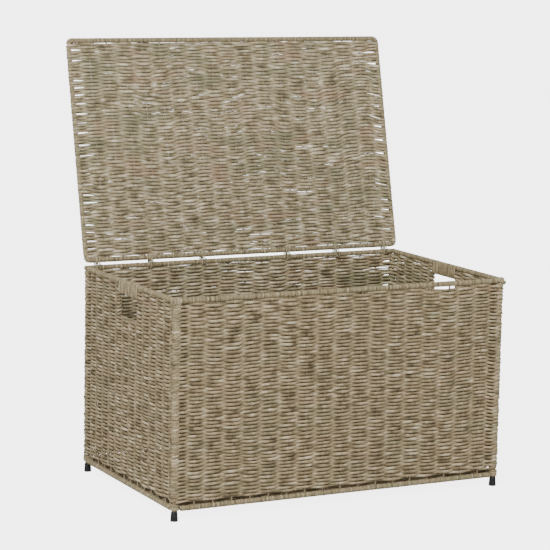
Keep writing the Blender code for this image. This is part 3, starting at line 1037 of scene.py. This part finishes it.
@dataclass(frozen=True)
class HingeTies:
    """Turns of cord round both back rails, on which the lid hangs."""

    cord_r: float = 1.05 * MM
    half: float = 6 * MM  # half its width along the rails
    pitch: float = 3.3 * MM
    clearance: float = 0.8 * MM  # between the cord and the rails' windings

    def build(self, finishes: Finishes) -> None:
        """Wind every tie.

        Args:
            finishes: the trunk's materials.
        """
        ties = sorted(name for name in frame["nodes"] if name.startswith("hinge_tie"))
        rail = centre("wrap_top_back")
        axis = Vector(frame["joints"][0]["pos_m"])
        rail_r = (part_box("wrap_top_back")[1].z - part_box("wrap_top_back")[0].z) / 2
        height = (rail.z + axis.z) / 2
        for k, node in enumerate(ties):
            middle = centre(node).x
            ends = [Vector((x, rail.y, height)) for x in (middle - self.half, middle + self.half)]
            Winding(f"lashing_{node}", "trunk", (node,), straight(*ends), Z, rail_r + self.clearance, 80 + k,
                    cord_r=self.cord_r, pitch=self.pitch, spread=(axis.z - rail.z) / 2, segments=14,
                    slot="tie_cord", use=Use.TIE).build(finishes)


@dataclass(frozen=True)
class Studio:
    """A pale lit floor, broad soft light and a long lens."""

    camera_place: tuple[float, float, float] = (-2.199, -4.240, 1.176)
    yaw: float = math.radians(27.26)
    pitch: float = math.radians(8.85)
    roll: float = math.radians(1.10)
    lens: float = 148.3
    ambient: float = 0.62
    backdrop: float = 12.0
    floor_size: float = 60.0
    aim: tuple[float, float, float] = (0.0, 0.0, 0.4)
    lamps: tuple[tuple[str, tuple[float, float, float], float, float], ...] = (
        ("key", (-2.95, -2.95, 3.1), 2.6, 266.0),
        ("fill", (3.2, -2.6, 1.8), 2.4, 45.0),
    )  # name, place, size and power

    def build(self, finishes: Finishes) -> None:
        """Set up the floor, the light and the camera.

        Args:
            finishes: for the floor's paint.
        """
        self.sweep(finishes)
        self.light()
        self.camera()

    def sweep(self, finishes: Finishes) -> None:
        """Lay a floor that reaches the horizon.

        Args:
            finishes: for its paint.
        """
        bpy.ops.object.select_all(action="DESELECT")
        bpy.ops.mesh.primitive_plane_add(size=1, location=(0, 0, 0))
        floor = bpy.context.object
        floor.name = floor.data.name = "studio_floor"
        floor.scale = (self.floor_size, self.floor_size, 1)
        bpy.ops.object.transform_apply(location=True, rotation=True, scale=True)
        floor.data.materials.append(finishes.floor)

    def light(self) -> None:
        """White surroundings, one big soft key and a weaker fill."""
        world = bpy.data.worlds.new("white studio")
        bpy.context.scene.world = world
        world.use_nodes = True
        tree = world.node_tree
        background = tree.nodes["Background"]
        background.inputs["Color"].default_value = (1.0, 1.0, 1.0, 1.0)
        seen = add_node(tree, "ShaderNodeLightPath")
        strength = add_node(tree, "ShaderNodeMapRange", {"Value": seen.outputs["Is Camera Ray"],
                                                         "To Min": self.ambient, "To Max": self.backdrop})
        tree.links.new(strength.outputs[0], background.inputs["Strength"])
        for name, place, size, power in self.lamps:
            lamp = bpy.data.lights.new(name, "AREA")
            lamp.shape = "DISK"
            lamp.size = size
            lamp.energy = power
            holder = bpy.data.objects.new(name, lamp)
            holder.location = place
            towards = Vector(self.aim) - holder.location
            holder.rotation_euler = towards.to_track_quat("-Z", "Y").to_euler()
            bpy.context.scene.collection.objects.link(holder)

    def camera(self) -> None:
        """Place the camera."""
        ahead = Vector((math.sin(self.yaw) * math.cos(self.pitch), math.cos(self.yaw) * math.cos(self.pitch),
                        -math.sin(self.pitch)))
        right = Vector((math.cos(self.yaw), -math.sin(self.yaw), 0))
        up = right.cross(ahead)
        c, s = math.cos(self.roll), math.sin(self.roll)
        right, up = right * c + up * s, up * c - right * s
        turned = Matrix((right, up, -ahead)).transposed().to_4x4()
        turned.translation = Vector(self.camera_place)
        camera = bpy.data.cameras.new("camera")
        camera.lens = self.lens
        camera.clip_end = 200
        holder = bpy.data.objects.new("camera", camera)
        holder.matrix_world = turned
        bpy.context.scene.collection.objects.link(holder)
        bpy.context.scene.camera = holder


def dress_wires(finishes: Finishes) -> None:
    """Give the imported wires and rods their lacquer."""
    for name, obj in frame["nodes"].items():
        if name.startswith(("wire_", "post_", "handle_bar", "lid_wire")):
            for holder in obj.material_slots:
                holder.material = finishes.wire


def main() -> None:
    """Build the looks in order."""
    logging.basicConfig(level=logging.INFO, format="%(message)s")
    finishes = Finishes()
    dress_wires(finishes)
    Trunk(finishes).build()
    Lid(finishes).build()
    HingeTies().build(finishes)
    Studio().build(finishes)


if __name__ == "__main__":
    main()
